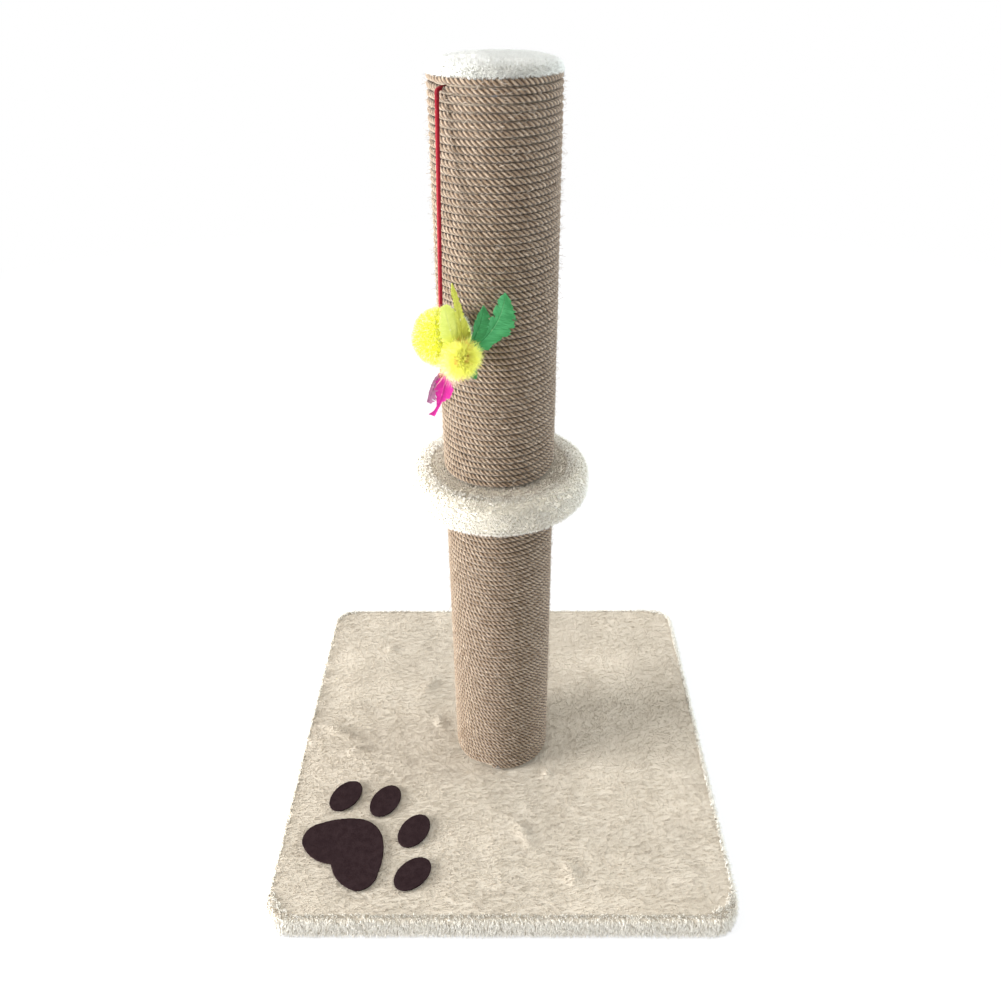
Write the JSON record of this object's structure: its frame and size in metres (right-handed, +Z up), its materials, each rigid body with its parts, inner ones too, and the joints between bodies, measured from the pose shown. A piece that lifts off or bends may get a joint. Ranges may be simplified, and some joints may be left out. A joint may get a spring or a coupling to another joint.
{
  "type": "cat scratching post",
  "caption": "Rope-wound cat scratching post on a square plush base, with a plush ring half way, a plush cap, a felt paw print and a feather toy on an elastic cord.",
  "frame": {"origin": "middle of the base's underside, on the floor, under the post's axis", "axes": "+Z up along the post, -Y to the front edge with the paw print, +X to the right seen from the front"},
  "size_m": [0.3, 0.3, 0.484],
  "materials": {
    "board": "raw particle board",
    "plush": "short pile, brushed",
    "liner": "non-woven",
    "steel": "zinc plated",
    "felt": "matte felt",
    "paperboard": "wound paper",
    "wadding": "loose fibre",
    "rope": "natural twisted fibre",
    "elastic": "braided sleeve over rubber",
    "ball_plush": "short fluffy pile",
    "glue": "clear hot glue",
    "down": "fine down",
    "yellow_feather": "dyed feather",
    "green_feather": "dyed feather",
    "magenta_feather": "dyed feather",
    "purple_feather": "dyed feather"
  },
  "bodies": {
    "post": {"base_board": "board", "base_plush_cover": "plush", "base_underside_liner": "liner", "base_cover_staples": "steel", "base_bolt": "steel", "base_washer": "steel", "paw_main_pad": "felt", "paw_toe_pad_1": "felt", "paw_toe_pad_2": "felt", "paw_toe_pad_3": "felt", "paw_toe_pad_4": "felt", "lower_tube": "paperboard", "lower_tube_bottom_plug": "board", "lower_tube_top_plug": "board", "lower_rope_run_1": "rope", "lower_rope_run_2": "rope", "lower_rope_run_3": "rope", "ring_board": "board", "ring_plush_cover": "plush", "ring_cover_staples": "steel", "ring_joining_stud": "steel", "upper_tube": "paperboard", "upper_tube_bottom_plug": "board", "upper_tube_top_plug": "board", "upper_rope_run_1": "rope", "upper_rope_run_2": "rope", "upper_rope_run_3": "rope", "threaded_inserts": "steel", "plug_nails": "steel", "rope_end_tacks": "steel", "cap_wadding": "wadding", "cap_plush_cover": "plush", "cord_anchor": "elastic"},
    "cord_bend": {"cord_exit_bend": "elastic"},
    "cord": {"elastic_cord": "elastic"},
    "knot": {"cord_knot": "elastic"},
    "toy": {"toy_ball": "ball_plush", "toy_feather_bead": "glue", "toy_yellow_fluff": "down", "toy_broad_yellow_feather": "yellow_feather", "toy_long_yellow_feather": "yellow_feather", "toy_large_green_feather": "green_feather", "toy_small_green_feather": "green_feather", "toy_little_green_feather": "green_feather", "toy_purple_feather": "purple_feather", "toy_magenta_feather": "magenta_feather"}
  },
  "joints": [
    {"name": "toy_side_swing", "type": "hinge", "parent": "post", "child": "cord_bend", "pos_m": [-0.02515, -0.02285, 0.47099], "axis": [-0.5476, -0.8368, 0], "range_deg": [-75, 75], "deforming": ["cord_exit_bend"]},
    {"name": "toy_swing_out", "type": "hinge", "parent": "cord_bend", "child": "cord", "pos_m": [-0.02661, -0.02544, 0.46842], "axis": [-0.8368, 0.5476, 0], "range_deg": [0, 80]},
    {"name": "elastic_stretch", "type": "slide", "parent": "cord", "child": "knot", "axis": [-0.016, -0.1598, -0.987], "range_m": [0, 0.04], "stiffness_N_per_m": 60, "springref_m": -0.004, "deforming": ["elastic_cord"]},
    {"name": "toy_spin", "type": "hinge", "parent": "knot", "child": "toy", "pos_m": [-0.02842, -0.04343, 0.3573], "axis": [0.016, 0.1598, 0.987], "range_deg": [-150, 0]}
  ]
}
